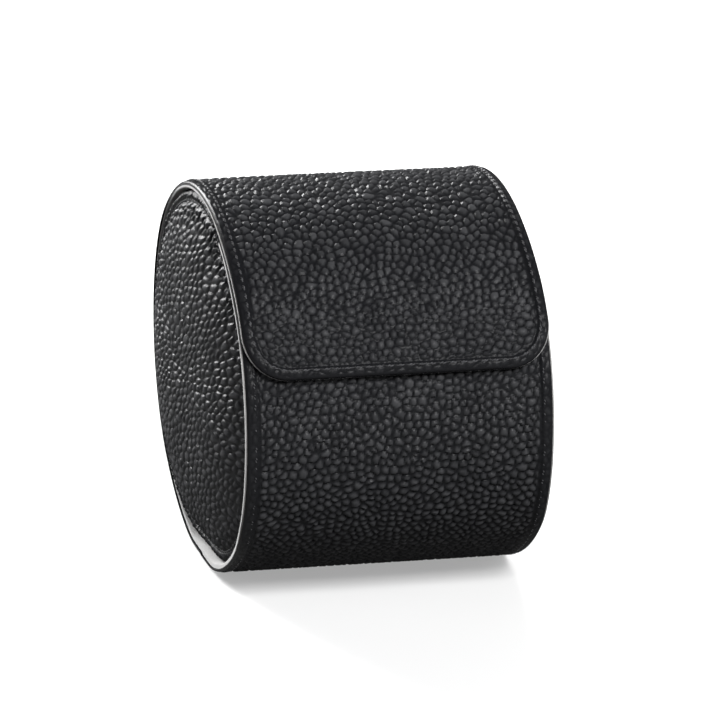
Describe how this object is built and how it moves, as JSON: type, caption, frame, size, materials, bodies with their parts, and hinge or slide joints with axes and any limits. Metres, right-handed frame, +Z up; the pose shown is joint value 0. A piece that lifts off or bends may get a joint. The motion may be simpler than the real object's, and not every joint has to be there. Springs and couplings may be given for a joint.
{
  "type": "watch roll",
  "caption": "Oval leather watch roll with a magnetic flap, an opening front leaf and a removable cushion between padded end panels.",
  "frame": {"origin": "on the table under the middle of the roll", "axes": "X along the roll, -Y to the front where the flap closes, Z up from the flat rest face"},
  "size_m": [0.0764, 0.114, 0.0881],
  "materials": {
    "black_leather": "pebbled, satin",
    "grey_suede": "brushed suede",
    "black_thread": "waxed thread",
    "board": "grey board",
    "foam": "open foam",
    "magnet": "magnet rubber, matt"
  },
  "bodies": {
    "shell": {"shell_leather": "black_leather", "shell_board": "board", "shell_lining": "grey_suede", "shell_stitches": "black_thread"},
    "flap": {"flap_leather": "black_leather", "flap_board": "board", "flap_lining": "grey_suede", "flap_stitches": "black_thread", "flap_magnet": "magnet"},
    "front_leaf": {"front_leather": "black_leather", "front_board": "board", "front_lining": "grey_suede", "front_stitches": "black_thread", "front_magnet": "magnet"},
    "insert": {"cushion_foam": "foam", "cushion_cover": "grey_suede", "left_panel_cover": "black_leather", "left_panel_foam": "foam", "left_panel_board": "board", "left_panel_lining": "grey_suede", "left_panel_stitches": "black_thread", "right_panel_cover": "black_leather", "right_panel_foam": "foam", "right_panel_board": "board", "right_panel_lining": "grey_suede", "right_panel_stitches": "black_thread"}
  },
  "joints": [
    {"name": "flap_bend", "type": "hinge", "parent": "shell", "child": "flap", "pos_m": [0, 0.04821, 0.06842], "axis": [-1, 0, 0], "range_deg": [0, 110]},
    {"name": "front_bend", "type": "hinge", "parent": "shell", "child": "front_leaf", "pos_m": [0, -0.04283, 0.01209], "axis": [1, 0, 0], "range_deg": [0, 66]},
    {"name": "insert_slide", "type": "slide", "parent": "shell", "child": "insert", "axis": [1, 0, 0], "range_m": [0, 0.075]}
  ],
  "couplings": [
    {"joint": "front_bend", "follows": "flap_bend", "ratio": 0.6}
  ]
}
